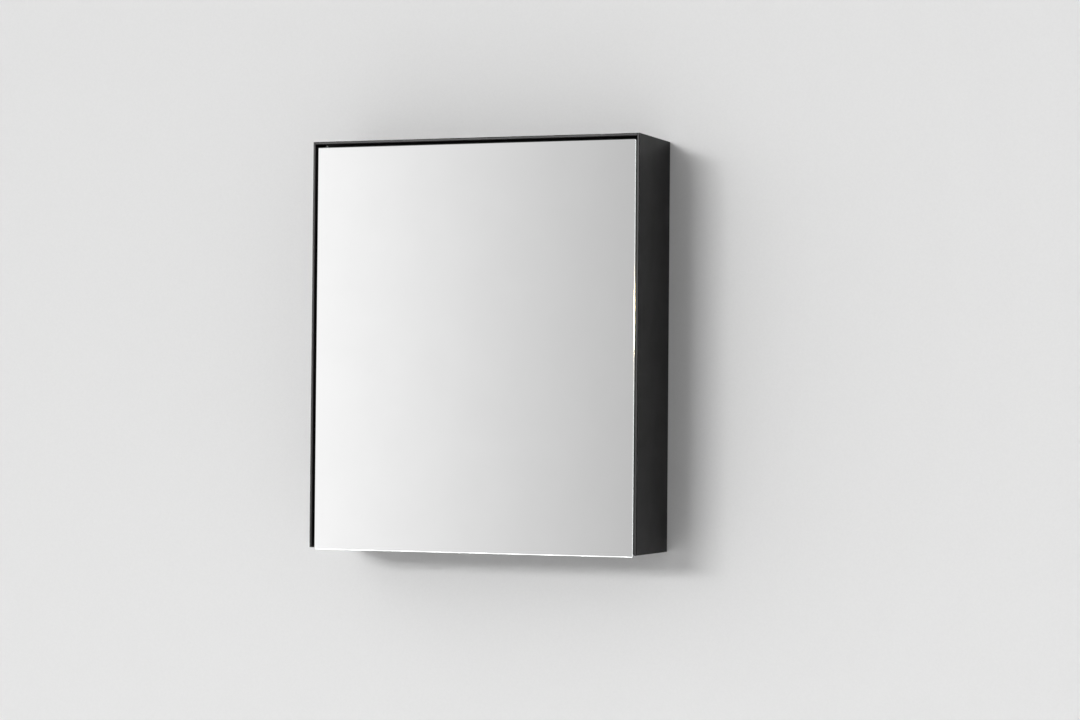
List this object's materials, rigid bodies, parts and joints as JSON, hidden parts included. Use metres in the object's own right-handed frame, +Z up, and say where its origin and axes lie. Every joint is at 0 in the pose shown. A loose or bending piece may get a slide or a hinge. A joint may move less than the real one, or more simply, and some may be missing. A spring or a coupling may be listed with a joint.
{
  "type": "medicine cabinet with mirror",
  "caption": "Wall-hung bathroom cabinet: a shallow black metal box with a full-width mirror door on pivots, glass shelves inside, and a lower mirror edge that serves as the grip.",
  "frame": {"origin": "centre of the four wall holes, on the cabinet's back face", "axes": "+X to the right as seen from the front, +Y back into the wall, +Z up"},
  "size_m": [0.51, 0.14, 0.6027],
  "materials": {
    "plate_black": "satin powder coat on aluminium",
    "board_black": "black melamine-faced board",
    "beech": "plain turned",
    "zinc_steel": "zinc plated",
    "shelf_glass": "clear, polished edges",
    "nickel": "nickel plated",
    "clear_vinyl": "clear soft vinyl",
    "hinge_black": "black passivated steel",
    "pin_steel": "ground",
    "nylon": "moulded",
    "bumper_rubber": "soft matte",
    "mirror": "silvered float glass, polished arris",
    "tape": "foam tape",
    "rail_black": "black anodised",
    "key_alloy": "die cast"
  },
  "bodies": {
    "cabinet": {"side_panel_left": "plate_black", "side_panel_right": "plate_black", "top_panel": "plate_black", "bottom_panel": "plate_black", "carcass_side_left": "board_black", "carcass_side_right": "board_black", "carcass_top": "board_black", "carcass_bottom": "board_black", "back_panel": "board_black", "carcass_dowels": "beech", "panel_screws": "zinc_steel", "back_screws": "zinc_steel", "hinge_plate_screws": "zinc_steel", "shelf_lower": "shelf_glass", "shelf_middle": "shelf_glass", "shelf_upper": "shelf_glass", "shelf_pins": "nickel", "catch_magnet": "nickel", "shelf_sleeves": "clear_vinyl", "hinge_plate_top": "hinge_black", "hinge_plate_bottom": "hinge_black", "hinge_pin_top": "pin_steel", "hinge_pin_bottom": "pin_steel", "hinge_spacer_top": "nylon", "hinge_washer_bottom": "nylon", "catch_sleeve": "nylon", "door_bumpers": "bumper_rubber"},
    "door": {"mirror_front": "mirror", "mirror_rear": "mirror", "bonding_tape": "tape", "door_rail_left": "rail_black", "door_rail_right": "rail_black", "door_rail_top": "rail_black", "door_rail_bottom": "rail_black", "corner_key_top_left": "key_alloy", "corner_key_bottom_left": "key_alloy", "corner_keys_right": "key_alloy", "striker_disc": "zinc_steel", "striker_screw": "zinc_steel"}
  },
  "joints": [
    {"name": "door_hinge", "type": "hinge", "parent": "cabinet", "child": "door", "pos_m": [-0.2359, -0.1289, 0], "axis": [0, 0, -1], "range_deg": [0, 110]}
  ]
}
